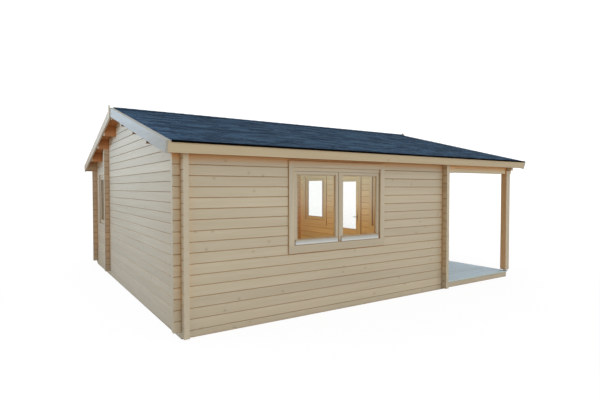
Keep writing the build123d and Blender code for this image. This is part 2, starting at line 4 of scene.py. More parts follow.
import bpy
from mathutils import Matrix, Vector


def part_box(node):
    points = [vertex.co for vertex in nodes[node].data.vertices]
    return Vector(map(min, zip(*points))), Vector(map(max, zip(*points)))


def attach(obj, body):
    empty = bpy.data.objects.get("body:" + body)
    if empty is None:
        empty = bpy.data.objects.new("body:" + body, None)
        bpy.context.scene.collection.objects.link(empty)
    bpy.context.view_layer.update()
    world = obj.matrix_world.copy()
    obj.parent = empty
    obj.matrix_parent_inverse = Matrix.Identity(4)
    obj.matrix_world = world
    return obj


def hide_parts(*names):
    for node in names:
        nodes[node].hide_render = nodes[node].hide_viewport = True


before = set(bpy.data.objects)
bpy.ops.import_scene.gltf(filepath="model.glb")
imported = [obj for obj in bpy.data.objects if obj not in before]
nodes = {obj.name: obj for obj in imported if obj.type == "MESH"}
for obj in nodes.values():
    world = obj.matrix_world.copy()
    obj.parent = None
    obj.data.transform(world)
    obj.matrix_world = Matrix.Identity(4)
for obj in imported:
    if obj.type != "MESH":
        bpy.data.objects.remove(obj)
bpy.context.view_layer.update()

random.seed(7)

# Sizes that the looks share with the construction, in metres
COURSE = 0.135
LOG_THICKNESS = 0.070
ROOF_PITCH = math.radians(14.6)
ROOF_BOARD = 0.019
SHINGLE_SLAB = 0.0084
SHINGLE_START = -0.034
FASCIA = 0.020
FASCIA_HEIGHT = 0.131
BARGEBOARD = 0.150
LOG_END = 0.098
CASING = 0.090
CASING_FOOT = 0.112
FRAME_BAR = 0.049
FRAME_HEAD = 0.098
MULLION = 0.026
SASH = 0.054
SASH_HEAD = 0.044
SASH_FOOT = 0.070
GLASS_BITE = 0.010
DOOR_STILE = 0.130
DOOR_PANEL = (0.330, 0.760)
DOOR_PANEL_RECESS = 0.011
HANDLE_BACKSET = 0.062
HANDLE_HEIGHT = 1.175
HANDLE_PLATE = 0.006
FOOT_PLATE = 0.006
BEARER = 0.060

# Sizes of the pieces added here, in metres
CLEARANCE = 0.001
SHINGLE_EXPOSURE = 0.142
SHINGLE_TAB = 0.333
SHINGLE_SLOT = 0.007
SHINGLE_LAP = 0.012
SHINGLE_BUTT = 0.0065
SHINGLE_THIN = 0.0015
SHINGLE_SEAT = 0.0003
SHINGLE_WARP = 0.0012
RIDGE_CAP_EXPOSURE = 0.175
RIDGE_CAP_LAP = 0.05
RIDGE_CAP_REACH = 0.150
RIDGE_CAP_THICKNESS = 0.004
RIDGE_CAP_RISE = 0.0048
RIDGE_CAP_SEAT = 0.0085
DRIP_SHEET = 0.0015
DRIP_DROP = 0.006
DRIP_RISE = 0.013
DRIP_CHAMFER = 0.000375
ROOF_BOARD_WIDTH = 0.096
ROOF_BOARD_GAP = 0.0006
ROOF_BOARD_CHAMFER = 0.004
DECK_BOARD_WIDTH = 0.1165
DECK_GAP = 0.005
FLOOR_BOARD_WIDTH = 0.112
FLOOR_GAP = 0.001
FLOOR_CHAMFER = 0.0015
BOARD_CHAMFER = 0.003
BEAD = 0.012
BEAD_REVEAL = 0.004
PANEL_BEAD_REVEAL = 0.002
BEAD_CHAMFER = 0.004
GASKET = 0.004
GASKET_PROUD = 0.0008
GASKET_DEPTH = 0.003
NAIL_RADIUS = 0.0035
NAIL_HEIGHT = 0.0008
NAIL_SPACING = 0.60
SCREW_RADIUS = 0.0045
SCREW_EDGE = 0.025
NUT_RADIUS = 0.024
NUT_HEIGHT = 0.011
FOOT_SCREW_RADIUS = 0.00585
FOOT_SCREW_HEIGHT = 0.0024
HANDLE_SCREW_STEP = 0.094
LOCK_STEP = 0.062
LOCK_RADIUS = 0.0085
LOCK_HEIGHT = 0.003
EDGE_ROUNDING = 0.0025
HEAVY_ROUNDING = 0.004
WELD_REACH = 0.00005
ROUNDED_ANGLE = math.radians(40)

# Shares and counts for the pieces added here
SHINGLE_ROW_STARTS = (0.15, 0.5, 0.85)
SHINGLE_ROW_TONE = 0.12
FASCIA_NAIL_SHARES = (0.25, 0.75)
BARGEBOARD_NAIL_SHARES = (0.3, 0.7)
UPRIGHT_NAIL_START = 1.5
FOOT_SCREW_SHARE = 0.36
HEAD_PROFILE = ((1.0, 0.0), (0.92, 0.7), (0.6, 1.0))
HEAD_SIDES = 8
LOCK_SIDES = 16
NUT_SIDES = 6
GRAIN_OFFSET = 40

# Colours as linear red, green and blue, with a pale and a deep one for each wood
WOOD_PALE = (0.506, 0.460, 0.354, 1)
WOOD_DEEP = (0.428, 0.378, 0.277, 1)
WALL_WOOD = (WOOD_PALE, WOOD_DEEP)
WOOD_KNOT = (0.200, 0.125, 0.068, 1)
TRIM_PALE = (0.490, 0.446, 0.345, 1)
TRIM_DEEP = (0.411, 0.363, 0.268, 1)
TRIM_WOOD = (TRIM_PALE, TRIM_DEEP)
FASCIA_WOOD = ((0.525, 0.454, 0.310, 1), (0.442, 0.370, 0.243, 1))
# The verge wood's grey-blue is painted cool light from the left on the bargeboards and fillets
VERGE_WOOD_COOL_LIGHT = ((0.358, 0.370, 0.338, 1), (0.304, 0.304, 0.266, 1))
# The soffit wood's deep orange-brown is painted warm shade under the roof
SOFFIT_WOOD_WARM_SHADE = ((0.404, 0.188, 0.072, 1), (0.309, 0.131, 0.046, 1))
DECK_WOOD = ((0.620, 0.810, 0.950, 1), (0.500, 0.665, 0.800, 1))
SHINGLE_PALE = (0.055, 0.112, 0.190, 1)
SHINGLE_DEEP = (0.015, 0.034, 0.066, 1)
SHINGLE_FLECK = (0.150, 0.240, 0.340, 1)
# Near-black for the shingles' dark grains, and for the drip edges partly painted shadow
BLACK_AND_SHADOW = (0.0015, 0.0015, 0.0017, 1)
# The pale drip-bar colour is a painted highlight along the lip
METAL_LIP_HIGHLIGHT = (0.56, 0.60, 0.60, 1)
METAL_DULL = (0.43, 0.46, 0.46, 1)
STEEL = (0.52, 0.53, 0.54, 1)
# The seals' dark rubber colour is also painted shade in the gap round each sash
RUBBER_AND_GAP_SHADE = (0.150, 0.115, 0.080, 1)
GLASS_CLEAR = (0.988, 0.996, 0.992, 1)
WHITE = (1, 1, 1, 1)

# Painted light and shade as tints over the wood by place, with the reaches, levels and slants that find each
# place
GROOVE_UPPER_SHADE_TINT = (0.74, 0.65, 0.55, 1)
GROOVE_LOWER_LIGHT_TINT = (1.0, 0.98, 0.95, 1)
GABLE_UPPER_SHADE_TINT = (0.54, 0.52, 0.50, 1)
GABLE_LOWER_LIGHT_TINT = (1.26, 1.28, 1.30, 1)
CREASE_SHADE_TINT = (0.66, 0.52, 0.40, 1)
CREASE_SHADE_REACH = 0.035
SHELTER_LIGHT_TINT = (1.32, 1.08, 0.81, 1)
SHELTER_LIGHT_REACH = 0.28
SHELTER_LIGHT_LEVELS = (0.15, 0.50)
LOG_END_SHADE_TINT = (0.95, 0.94, 0.93, 1)
FAR_LOG_END_SHADE_TINT = (0.81, 0.68, 0.59, 1)
BEAM_LIGHT_TINT = (1.26, 1.28, 1.22, 1)
POST_SHADE_TINT = (1.45, 1.04, 0.73, 1)
PURLIN_SHADE_TINT = (0.42, 0.60, 0.95, 1)
FASCIA_FOOT_SHADE_TINT = (0.62, 0.46, 0.32, 1)
EAVE_SHADE_TINT = (1.14, 0.80, 0.52, 1)
EAVE_SHADE = 0.09
EAVE_DEPTH = 0.03
BACK_VERGE_LIGHT_TINT = (1.29, 1.06, 0.87, 1)
DECK_SIDE_SHADE_TINT = (0.82, 0.78, 0.67, 1)
INDOOR_LOW_LIGHT_TINT = (1.0, 0.72, 0.36, 1)
INDOOR_HIGH_LIGHT_TINT = (1.02, 1.13, 1.08, 1)
INDOOR_LIGHT_LEVELS = (1.0, 2.1)
OPEN_LEVELS = (0.35, 0.85)
SLANT = 0.3
FACING = 0.5

# Grain: noise cells a metre along and across a board, and how far the colour follows them
BAND_CELLS = (0.55, 13.0, 13.0)
FIBRE_CELLS = (2.2, 95.0, 95.0)
PATCH_CELLS = (0.35, 2.0, 2.0)
BAND_SHARE = 0.62
FIBRE_SHARE = 0.38
STREAK_LEVELS = (0.24, 0.76)
BOARD_TONES = (0.95, 1.05)
PATCH_LEVELS = (0.25, 0.75)
PATCH_TONES = (0.965, 1.035)
RING_TONES = (0.25, 0.85)
TONE_SHIFT = (41.0, 17.0)
RING_RATE = 900.0
LOG_HEART = 0.35
WOOD_ROUGHNESS = (0.62, 0.5)
WOOD_GLOSS = 0.3

# Knots: cells a metre along and across, their size in cells, and the share of cells with a knot
KNOT_CELLS = (4.5, 5.0)
KNOT_EYE = (0.025, 0.08)
KNOT_EYE_DEPTH = 0.45
KNOT_HALO = (0.06, 0.20)
KNOT_HALO_DEPTH = 0.10
LOG_KNOTS = 0.19
BOARD_KNOTS = 0.15
DECK_KNOTS = 0.10
BAR_KNOTS = 0.08
JOINERY_KNOTS = 0.06
BEAD_KNOTS = 0.03

# Shingles, metal and glass: noise cells a metre, and how far colour and gloss follow them
SHINGLE_STREAK_CELLS = (7.0, 32.0, 32.0)
SHINGLE_BLOTCH_CELLS = (5.0, 5.0, 5.0)
SHINGLE_SHARES = (0.45, 0.75, 0.2)
SHINGLE_LEVELS = (0.48, 0.96)
DASH_LEVELS = (0.56, 0.72)
DASH_DEPTH = 0.6
PALE_GRAIN_LIMIT = 0.88
PALE_GRAIN_DEPTH = 0.45
DARK_GRAIN_LIMIT = 0.15
DARK_GRAIN_DEPTH = 0.5
SHINGLE_GRAIN_CELLS = 420.0
WEAR_CELLS = (35.0, 35.0, 35.0)
FINE_WEAR_CELLS = (600.0, 600.0, 600.0)
WEAR_LEVELS = (0.3, 0.7)
WEAR_DARKENING = 0.8
WEAR_ROUGHNESS = (0.8, 1.2)
DRIP_HIGHLIGHT_LEVELS = (0.34, 0.46)
DRIP_WOOD_LEVELS = (0.74, 0.80)
DRIP_ROUGHNESS = (0.3, 0.5)
GLASS_WAVE_CELLS = (1.4, 1.4, 1.4)
GLASS_INDEX = 1.5
GLASS_SHEETS = 2.0
MIRROR_LIMIT = 0.9

# Light of the dome: plain all round, dim and brown from the near left, more from the far left and right
DOME_LIGHT = (0.62, 0.62, 0.62, 1)
NEAR_LEFT_LIGHT = (0.42, 0.29, 0.18, 1)
NEAR_LEFT_WAY = (-0.62, -0.78, 0)
NEAR_LEFT_FOCUS = 1.5
FAR_LEFT_LIGHT = (0.74, 0.70, 0.67, 1)
FAR_LEFT_WAY = (-0.84, 0.50, 0.20)
RIGHT_LIGHT = (2.33, 2.37, 2.43, 1)
RIGHT_WAY = (0.55, -0.82, 0.10)
LOBE_FOCUS = 2.0
LEVEL_STRETCH = (1.0, 1.0, 3.2)
WHITE_LEVEL = 1.15

# Lamps in the main room and before the left gable
ROOM_LIGHT = (1.0, 0.95, 0.82)
ROOM_LAMP_PLACE = (-3.1, -0.6, 1.60)
ROOM_LAMP_SIZE = (1.4, 1.4)
ROOM_LAMP_POWER = 142
ROOM_LAMP_TURN = (math.pi / 2, 0, -math.pi / 2)
GABLE_LIGHT = (0.42, 0.63, 0.97)
GABLE_LAMP_SIZE = (0.4, 6.0)
GABLE_TOP_PLACE = (-5.0, -0.3, 3.05)
GABLE_TOP_POWER = 58
GABLE_TOP_TURN = (0, math.radians(-86), 0)
GABLE_FOOT_PLACE = (-5.3, -0.3, 0.60)
GABLE_FOOT_POWER = 19
GABLE_FOOT_TURN = (0, math.radians(-90), 0)

# Floor: its colours for light, for the eye and in mirrors, and the distances over which it turns white
FLOOR_REACH = 60
FLOOR_BOUNCE = (0.95, 0.91, 0.85, 1)
FLOOR_SEEN = (0.9, 0.9, 0.9, 1)
FLOOR_MIRRORED = (0.1, 0.1, 0.1, 1)
FLOOR_WHITE = 1.02
FLOOR_WHITE_RANGE = (6.0, 14.0)
SHADOW_WHITENESS = 0.92
SHADOW_RANGE = (4.2, 8.0)
MIRROR_RANGE = (8.0, 45.0)

# The photograph's camera
CAMERA_PLACE = (-5.076, -8.290, 1.8295)
CAMERA_TURN = (math.radians(88.407), 0, math.radians(-33.294))
CAMERA_LENS = 26.089
CAMERA_SENSOR = 36

# Places read from the frame
wall_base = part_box("left_gable_wall")[0].z
left_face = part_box("left_gable_wall")[0].x
cross_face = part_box("veranda_wall")[1].x
beam_start = cross_face + LOG_END + CLEARANCE
room_low = Vector((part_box("left_gable_wall")[1].x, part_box("front_wall")[1].y, 0))
room_high = Vector((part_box("veranda_wall")[0].x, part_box("back_wall")[0].y, 0))
front_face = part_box("front_wall")[0].y
eave_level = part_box("front_fascia")[0].z
roof_low, roof_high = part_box("front_roof_boards")
shingle_low_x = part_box("front_shingles")[0].x
shingle_high_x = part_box("front_shingles")[1].x
roof_cos = math.cos(ROOF_PITCH)
roof_sin = math.sin(ROOF_PITCH)
eave_y = roof_low.y + ROOF_BOARD * roof_sin
eave_z = roof_low.z
slope_length = -eave_y / roof_cos
shingle_top = ROOF_BOARD + SHINGLE_SLAB


# Node trees
class Tree:
    """Short calls for building one node tree."""

    def __init__(self, tree):
        self.tree = tree

    def add(self, kind, inputs=None, **settings):
        node = self.tree.nodes.new(kind)
        for key, value in settings.items():
            setattr(node, key, value)
        for key, value in (inputs or {}).items():
            self.feed(node.inputs[key], value)
        return node

    def feed(self, socket, value):
        if isinstance(value, bpy.types.NodeSocket):
            self.tree.links.new(value, socket)
        else:
            socket.default_value = value

    def math(self, operation, *values):
        return self.add("ShaderNodeMath", dict(enumerate(values)), operation=operation).outputs[0]

    def times(self, first, second):
        return self.math("MULTIPLY", first, second)

    def above(self, value, limit):
        return self.math("GREATER_THAN", value, limit)

    def below(self, value, limit):
        return self.math("LESS_THAN", value, limit)

    def weigh(self, *parts):
        """Adds up values, each times its share."""
        total = 0.0
        for value, share in parts:
            total = self.math("MULTIPLY_ADD", value, share, total)
        return total

    def vector(self, operation, *values):
        return self.add("ShaderNodeVectorMath", dict(enumerate(values)), operation=operation).outputs[0]

    def mix(self, factor, first, second, blend="MIX"):
        inputs = {0: factor, 6: first, 7: second}
        return self.add("ShaderNodeMix", inputs, data_type="RGBA", blend_type=blend).outputs[2]

    def split(self, vector):
        return self.add("ShaderNodeSeparateXYZ", {0: vector}).outputs

    def join(self, x, y, z):
        return self.add("ShaderNodeCombineXYZ", {0: x, 1: y, 2: z}).outputs[0]

    def noise(self, vector, cells, detail=2.0, roughness=0.5, distortion=0.0):
        """Gives noise with so many cells a metre along each axis."""
        inputs = {
            "Vector": self.vector("MULTIPLY", vector, cells),
            "Scale": 1.0,
            "Detail": detail,
            "Roughness": roughness,
            "Distortion": distortion,
        }
        return self.add("ShaderNodeTexNoise", inputs).outputs["Fac"]

    def spread(self, value, low, high, to_low=0.0, to_high=1.0):
        inputs = {0: value, 1: low, 2: high, 3: to_low, 4: to_high}
        return self.add("ShaderNodeMapRange", inputs, clamp=True).outputs[0]

    def inside(self, value, low, high):
        """Gives 1 where a value lies between two limits."""
        return self.times(self.above(value, low), self.below(value, high))

    def random(self, value):
        return self.add("ShaderNodeTexWhiteNoise", {"W": value}, noise_dimensions="1D").outputs["Value"]

    def lobe(self, ray, way, focus):
        """Gives how nearly a direction points one way, from 0 to 1."""
        inputs = {0: ray, 1: Vector(way).normalized()}
        toward = self.add("ShaderNodeVectorMath", inputs, operation="DOT_PRODUCT").outputs["Value"]
        return self.math("POWER", self.math("MAXIMUM", toward, 0.0), focus)


class Finish(Tree):
    """One material built around a Principled shader."""

    def __init__(self, name):
        self.material = bpy.data.materials.new(name)
        self.material.use_nodes = True
        super().__init__(self.material.node_tree)
        self.shader = self.tree.nodes["Principled BSDF"]
        self.coords = self.add("ShaderNodeTexCoord").outputs
        self.place = self.coords["Object"]

    def set(self, name, value):
        self.feed(self.shader.inputs[name], value)

    def bump(self, height, distance, strength):
        inputs = {"Height": height, "Distance": distance, "Strength": strength}
        self.set("Normal", self.add("ShaderNodeBump", inputs).outputs[0])

    def indoor_light(self):
        """Gives painted warm light inside the rooms, deeper lower down, and white outside."""
        x, y, z = self.split(self.place)
        depth = LOG_THICKNESS / 2
        within_x = self.inside(x, room_low.x - depth, room_high.x + depth)
        within_y = self.inside(y, room_low.y - depth, room_high.y + depth)
        warm = self.mix(self.spread(z, *INDOOR_LIGHT_LEVELS), INDOOR_LOW_LIGHT_TINT, INDOOR_HIGH_LIGHT_TINT)
        return self.mix(self.times(within_x, within_y), WHITE, warm)

    def under_eaves(self, tint):
        """Warms a tint with painted shade on the outer faces of the eave walls, just under the fascias."""
        _, y, z = self.split(self.place)
        outside = self.above(self.math("ABSOLUTE", y), -front_face - EAVE_DEPTH)
        near = self.times(outside, self.spread(z, eave_level - EAVE_SHADE, eave_level))
        return self.mix(near, tint, EAVE_SHADE_TINT, "MULTIPLY")

    def crease_light_and_shade(self, tint):
        """Warms and lightens a tint with painted light under and beside other pieces, and darkens it with
        painted shade in the corners between them.
        """
        above_ground = self.spread(self.split(self.place)[2], *SHELTER_LIGHT_LEVELS)
        sheltered = self.times(self.shut_in(SHELTER_LIGHT_REACH), above_ground)
        tint = self.mix(sheltered, tint, SHELTER_LIGHT_TINT, "MULTIPLY")
        return self.mix(self.shut_in(CREASE_SHADE_REACH), tint, CREASE_SHADE_TINT, "MULTIPLY")

    def shut_in(self, reach):
        """Gives how far other faces within a reach close a place in, from 0 to 1."""
        open_share = self.add("ShaderNodeAmbientOcclusion", {"Distance": reach}, samples=6).outputs["AO"]
        return self.spread(open_share, *OPEN_LEVELS, 1.0, 0.0)


# Wood
def paint_wood(finish, grain, tone, colours, knots, tint=None, end_mask=None, rings=None):
    """Colours a finish as planed softwood. The grain runs along its vector's X, and each board has a tone."""
    pale, deep = colours
    shift = finish.join(*(finish.times(tone, step) for step in TONE_SHIFT), tone)
    place = finish.vector("ADD", grain, shift)
    bands = finish.noise(place, BAND_CELLS, detail=3.0, roughness=0.55, distortion=0.6)
    fibres = finish.noise(place, FIBRE_CELLS, detail=3.0, roughness=0.6)
    patches = finish.noise(place, PATCH_CELLS)
    streak = finish.weigh((bands, BAND_SHARE), (fibres, FIBRE_SHARE))
    colour = finish.mix(finish.spread(streak, *STREAK_LEVELS), deep, pale)

    # A board's own tone, and lighter and darker lengths along it
    bright = finish.spread(tone, 0.0, 1.0, *BOARD_TONES)
    bright = finish.times(bright, finish.spread(patches, *PATCH_LEVELS, *PATCH_TONES))
    colour = finish.mix(1.0, colour, finish.join(bright, bright, bright), "MULTIPLY")

    # Small knots, with few of the cells holding one
    along, right, rise = finish.split(place)
    cell_along = finish.times(along, KNOT_CELLS[0])
    cell_across = finish.times(finish.math("ADD", right, rise), KNOT_CELLS[1])
    inputs = {"Vector": finish.join(cell_along, cell_across, 0.0), "Scale": 1.0, "Randomness": 0.9}
    cells = finish.add("ShaderNodeTexVoronoi", inputs, voronoi_dimensions="2D").outputs
    chosen = finish.below(finish.split(cells["Color"])[0], knots)
    eye = finish.spread(cells["Distance"], *KNOT_EYE, KNOT_EYE_DEPTH, 0.0)
    halo = finish.spread(cells["Distance"], *KNOT_HALO, KNOT_HALO_DEPTH, 0.0)
    knot = finish.times(chosen, finish.math("MAXIMUM", eye, halo))
    colour = finish.mix(knot, colour, WOOD_KNOT)

    if end_mask is not None:
        ring = finish.math("SINE", finish.times(rings, RING_RATE))
        end = finish.mix(finish.spread(ring, -1.0, 1.0, *RING_TONES), WOOD_DEEP, WOOD_PALE)
        colour = finish.mix(end_mask, colour, end)
    # Painted light and shade: warm light indoors and in sheltered places, shade in the corners
    tint = finish.crease_light_and_shade(tint or finish.indoor_light())
    finish.set("Base Color", finish.mix(1.0, colour, tint, "MULTIPLY"))
    finish.set("Roughness", finish.spread(streak, *WEAR_LEVELS, *WOOD_ROUGHNESS))
    finish.set("Specular IOR Level", WOOD_GLOSS)
    finish.bump(finish.math("SUBTRACT", fibres, knot), distance=0.0012, strength=0.35)


def turned(finish, along):
    """Gives the place in the frame with the chosen axis first."""
    x, y, z = finish.split(finish.place)
    order = {"X": (x, y, z), "Y": (y, x, z), "Z": (z, x, y)}[along]
    return finish.join(*order)


def log_finish(node, along):
    """Gives the logs of one wall a tone a course, painted light and shade in the seams, under the eaves, on
    the beam and on the sides of the log ends, and year rings on their cut ends.
    """
    finish = Finish(node + "_wood")
    low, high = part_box(node)
    x, y, z = finish.split(finish.place)
    normal = finish.split(finish.coords["Normal"])
    seam = wall_base + (COURSE / 2 if along == "X" else 0)
    step = finish.math("DIVIDE", finish.math("SUBTRACT", z, seam), COURSE)
    wall_number = low.x * 3 + low.y
    tone = finish.random(finish.math("ADD", finish.math("FLOOR", step), wall_number))
    run, side_way = (0, 1) if along == "X" else (1, 0)
    middle = (low + high) / 2
    across = finish.math("SUBTRACT", (x, y)[side_way], middle[side_way])
    rise = finish.times(finish.math("SUBTRACT", finish.math("FRACT", step), LOG_HEART), COURSE)
    squares = finish.math("ADD", finish.math("POWER", across, 2.0), finish.math("POWER", rise, 2.0))
    end_mask = finish.above(finish.math("ABSOLUTE", normal[run]), FACING)

    # Painted shade and light: on the faces of the V grooves by which way they look, on the beam of the
    # veranda, and on the sides of the log ends in the corners
    tint = finish.indoor_light()
    upper = finish.below(normal[2], -SLANT)
    lower = finish.above(normal[2], SLANT)
    upper_shade_tint, lower_light_tint = GROOVE_UPPER_SHADE_TINT, GROOVE_LOWER_LIGHT_TINT
    if node == "left_gable_wall":
        upper_shade_tint, lower_light_tint = GABLE_UPPER_SHADE_TINT, GABLE_LOWER_LIGHT_TINT
    tint = finish.mix(upper, tint, upper_shade_tint, "MULTIPLY")
    tint = finish.mix(lower, tint, lower_light_tint, "MULTIPLY")
    if along == "X":
        tint = finish.under_eaves(tint)
        # Painted light on the beam of the veranda, under the fascia
        tint = finish.mix(finish.above(x, beam_start), tint, BEAM_LIGHT_TINT, "MULTIPLY")
        near_end = finish.below(x, left_face)
        far_end = finish.inside(x, cross_face, beam_start)
        beyond = finish.math("MAXIMUM", near_end, far_end)
    else:
        beyond = finish.above(finish.math("ABSOLUTE", y), -front_face)
    # Painted shade on the sides of the log ends beyond the corners, browner on the partition and back wall
    flank = finish.above(finish.math("ABSOLUTE", normal[side_way]), FACING)
    end_shade_tint = FAR_LOG_END_SHADE_TINT if node in ("partition_wall", "back_wall") else LOG_END_SHADE_TINT
    tint = finish.mix(finish.times(beyond, flank), tint, end_shade_tint, "MULTIPLY")
    rings = finish.math("SQRT", squares)
    paint_wood(finish, turned(finish, along), tone, WALL_WOOD, LOG_KNOTS, tint, end_mask, rings)
    return finish.material


def straight_finish(name, along, colours=TRIM_WOOD, shaded_way=None, shade_tint=WHITE):
    """Planed wood for CAD pieces that all run one way, with a painted-shade tint for the sides that look down
    one axis.
    """
    finish = Finish(name)
    tone = finish.add("ShaderNodeNewGeometry").outputs["Random Per Island"]
    normal = finish.split(finish.coords["Normal"])
    tint = None
    end_mask = None
    rings = None
    if shaded_way:
        shaded = finish.below(normal["XYZ".index(shaded_way)], -FACING)
        tint = finish.mix(shaded, WHITE, shade_tint)
    # Painted light: the bargeboards on the back slope are lighter and warmer
    if colours is VERGE_WOOD_COOL_LIGHT:
        back_slope = finish.above(finish.split(finish.place)[1], 0.0)
        tint = finish.mix(back_slope, WHITE, BACK_VERGE_LIGHT_TINT)
    if colours is SOFFIT_WOOD_WARM_SHADE:
        lengthwise = finish.math("ABSOLUTE", normal["XYZ".index(along)])
        end_mask = finish.above(lengthwise, FACING)
        rings = finish.split(finish.place)[2]
    paint_wood(finish, turned(finish, along), tone, colours, BAR_KNOTS, tint, end_mask, rings)
    return finish.material


def joined_finish(name, wall_axis, bands, levels):
    """Planed wood for rings of bars: upright inside the bands and levels, level elsewhere."""
    finish = Finish(name)
    x, y, z = finish.split(finish.place)
    across = x if wall_axis == "X" else y
    upright = 0.0
    for low, high in bands:
        upright = finish.math("MAXIMUM", upright, finish.inside(across, low, high))
    upright = finish.times(upright, finish.inside(z, *levels))
    grain = finish.mix(upright, turned(finish, wall_axis), turned(finish, "Z"))
    tone = finish.add("ShaderNodeNewGeometry").outputs["Random Per Island"]
    # Painted shade under the eaves, over painted warm light indoors
    tint = finish.under_eaves(finish.indoor_light())
    paint_wood(finish, grain, tone, TRIM_WOOD, JOINERY_KNOTS, tint)
    return finish.material


def board_finish(name, colours, knots):
    """Planed wood for the boards made here, which carry their own grain and tone."""
    finish = Finish(name)
    grain = finish.add("ShaderNodeAttribute", attribute_name="grain").outputs["Vector"]
    tone = finish.add("ShaderNodeAttribute", attribute_name="tone").outputs["Fac"]
    tint = WHITE if colours is SOFFIT_WOOD_WARM_SHADE else None
    # Painted shade on the sides of the deck boards that face the front
    if colours is DECK_WOOD:
        front = finish.below(finish.split(finish.coords["Normal"])[1], -FACING)
        tint = finish.mix(front, WHITE, DECK_SIDE_SHADE_TINT)
    paint_wood(finish, grain, tone, colours, knots, tint)
    return finish.material


# Shingles, metals, rubber and glass
def shingle_finish():
    """Mineral-faced bitumen: a tone for each tab, streaks along the rows, and pale and dark grains."""
    finish = Finish("bitumen_shingle")
    tone = finish.add("ShaderNodeAttribute", attribute_name="tone").outputs["Fac"]
    streaks = finish.noise(finish.place, SHINGLE_STREAK_CELLS, detail=4.0, roughness=0.7)
    blotches = finish.noise(finish.place, SHINGLE_BLOTCH_CELLS, detail=3.0, roughness=0.6)
    level = finish.weigh(*zip((tone, streaks, blotches), SHINGLE_SHARES))
    colour = finish.mix(finish.spread(level, *SHINGLE_LEVELS), SHINGLE_DEEP, SHINGLE_PALE)
    dash = finish.spread(streaks, *DASH_LEVELS, 0.0, DASH_DEPTH)
    colour = finish.mix(dash, colour, SHINGLE_FLECK)
    inputs = {"Vector": finish.place, "Scale": SHINGLE_GRAIN_CELLS}
    grains = finish.add("ShaderNodeTexVoronoi", inputs).outputs
    shade = finish.split(grains["Color"])
    pale = finish.times(finish.above(shade[0], PALE_GRAIN_LIMIT), PALE_GRAIN_DEPTH)
    dark = finish.times(finish.below(shade[1], DARK_GRAIN_LIMIT), DARK_GRAIN_DEPTH)
    colour = finish.mix(pale, colour, SHINGLE_FLECK)
    colour = finish.mix(dark, colour, BLACK_AND_SHADOW)
    finish.set("Base Color", colour)
    finish.set("Roughness", 0.85)
    finish.set("Specular IOR Level", 0.03)
    finish.bump(grains["Distance"], distance=0.0015, strength=0.6)
    return finish.material


def metal_finish(name, colour, roughness, metallic=1.0, gloss=0.5):
    """Metal or rubber with fine uneven gloss and faint rubbed patches."""
    finish = Finish(name)
    wear = finish.noise(finish.place, WEAR_CELLS, detail=4.0, roughness=0.65)
    fine = finish.noise(finish.place, FINE_WEAR_CELLS)
    darker = tuple(channel * WEAR_DARKENING for channel in colour[:3]) + (1,)
    finish.set("Base Color", finish.mix(wear, darker, colour))
    finish.set("Metallic", metallic)
    finish.set("Specular IOR Level", gloss)
    limits = (roughness * share for share in WEAR_ROUGHNESS)
    finish.set("Roughness", finish.spread(wear, *WEAR_LEVELS, *limits))
    finish.bump(fine, distance=0.0003, strength=0.2)
    return finish.material


def drip_bar_finish(node):
    """Coated metal with a painted highlight along its lower lip, under the wood of the sash's foot."""
    finish = Finish("drip_bar_metal")
    low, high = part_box(node)
    share = finish.spread(finish.split(finish.place)[2], low.z, high.z)
    colour = finish.mix(finish.spread(share, *DRIP_HIGHLIGHT_LEVELS), METAL_LIP_HIGHLIGHT, METAL_DULL)
    colour = finish.mix(finish.spread(share, *DRIP_WOOD_LEVELS), colour, TRIM_DEEP)
    wear = finish.noise(finish.place, WEAR_CELLS, detail=4.0, roughness=0.65)
    finish.set("Base Color", colour)
    finish.set("Roughness", finish.spread(wear, *WEAR_LEVELS, *DRIP_ROUGHNESS))
    return finish.material


def glass_finish():
    """Clear panes that let light through and mirror more at grazing angles."""
    finish = Finish("window_glass")
    finish.tree.nodes.remove(finish.shader)
    clear = finish.add("ShaderNodeBsdfTransparent", {"Color": GLASS_CLEAR}).outputs[0]
    waves = finish.noise(finish.place, GLASS_WAVE_CELLS)
    ripple = finish.add("ShaderNodeBump", {"Height": waves, "Distance": 0.002, "Strength": 0.1})
    mirror = finish.add("ShaderNodeBsdfGlossy", {"Roughness": 0.02, "Normal": ripple.outputs[0]}).outputs[0]
    outer = finish.math("SUBTRACT", 1.0, finish.add("ShaderNodeNewGeometry").outputs["Backfacing"])
    sheets = finish.times(finish.add("ShaderNodeFresnel", {"IOR": GLASS_INDEX}).outputs[0], GLASS_SHEETS)
    share = finish.times(finish.math("MINIMUM", sheets, MIRROR_LIMIT), outer)
    mixed = finish.add("ShaderNodeMixShader", {0: share, 1: clear, 2: mirror}).outputs[0]
    finish.feed(finish.tree.nodes["Material Output"].inputs["Surface"], mixed)
    return finish.material


